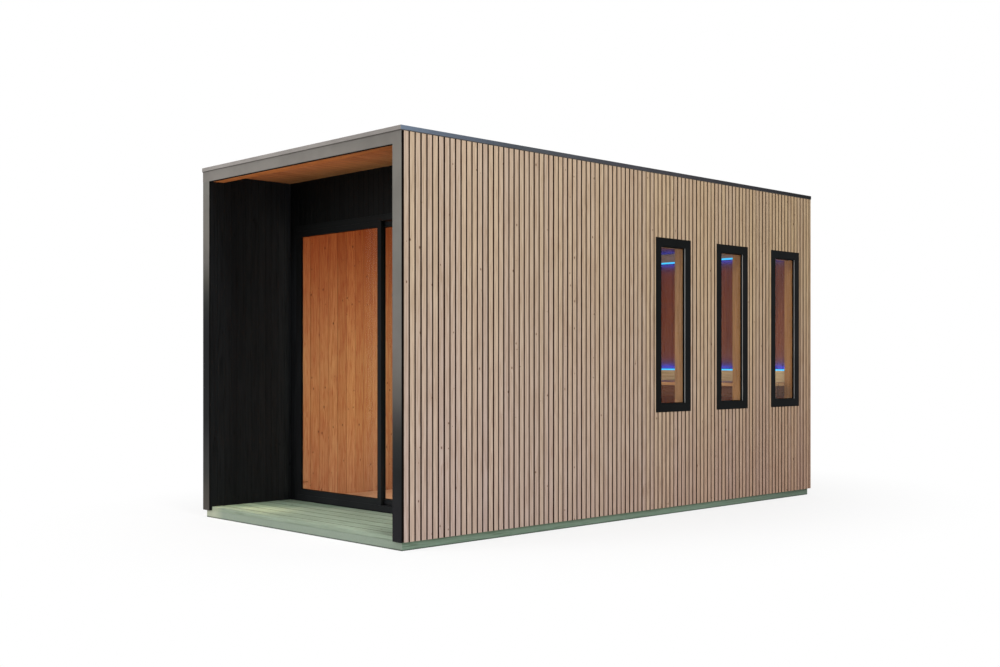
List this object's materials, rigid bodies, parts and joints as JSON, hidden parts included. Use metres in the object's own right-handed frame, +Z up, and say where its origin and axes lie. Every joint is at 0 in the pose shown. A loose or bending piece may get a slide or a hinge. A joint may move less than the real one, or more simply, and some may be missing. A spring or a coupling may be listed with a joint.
{
  "type": "outdoor sauna cabin",
  "caption": "Batten-clad outdoor sauna cabin with a recessed porch in a metal-framed portal, a glazed sliding door, tall windows in one long wall and a rear bench with lit rails.",
  "frame": {"origin": "on the ground, in the middle of the cabin's outline", "axes": "+X to the right seen from the porch, towards the wall with the windows, +Y from the porch to the rear wall, +Z up"},
  "size_m": [2.24, 4.426, 2.497],
  "materials": {
    "treated_timber": "matte, grey-green treated timber",
    "pine_boards": "satin, warm knotty softwood",
    "portal_metal": "satin grey powder coat",
    "insulated_panel": "matte, dark faced",
    "dark_boards": "matte black stained boards",
    "batten_wood": "matte, pale planed battens",
    "roof_membrane": "matte dark grey sheet",
    "frame_metal": "satin near-black powder coat",
    "clear_glass": "clear double glazing",
    "light_strip": "lit blue strip"
  },
  "bodies": {
    "cabin": {"base_frame": "treated_timber", "deck_boards": "treated_timber", "room_floor": "pine_boards", "portal_post_left": "portal_metal", "portal_post_right": "portal_metal", "portal_fascia": "portal_metal", "front_beam": "pine_boards", "porch_wall_left": "insulated_panel", "porch_wall_right": "insulated_panel", "porch_lining": "dark_boards", "porch_soffit": "pine_boards", "front_wall_left": "insulated_panel", "front_wall_right": "insulated_panel", "front_wall_header": "insulated_panel", "wall_left": "insulated_panel", "wall_right": "insulated_panel", "wall_rear": "insulated_panel", "lining_left": "pine_boards", "lining_right": "pine_boards", "lining_rear": "pine_boards", "lining_front": "pine_boards", "ceiling_panel": "insulated_panel", "ceiling_lining": "pine_boards", "roof_deck": "insulated_panel", "roof_membrane": "roof_membrane", "roof_trim": "portal_metal", "cladding_left": "batten_wood", "cladding_right": "batten_wood", "cladding_rear": "batten_wood", "window_frame_1": "frame_metal", "window_frame_2": "frame_metal", "window_frame_3": "frame_metal", "window_glass_1": "clear_glass", "window_glass_2": "clear_glass", "window_glass_3": "clear_glass", "door_frame": "frame_metal", "door_fixed_leaf": "frame_metal", "door_fixed_glass": "clear_glass", "bench_top": "pine_boards", "bench_frame": "pine_boards", "light_rails": "pine_boards", "light_strips": "light_strip"},
    "sliding_door": {"door_sash": "frame_metal", "door_sash_glass": "clear_glass", "door_handles": "portal_metal"}
  },
  "joints": [
    {"name": "door_slide", "type": "slide", "parent": "cabin", "child": "sliding_door", "axis": [-1, 0, 0], "range_m": [0, 0.85]}
  ]
}
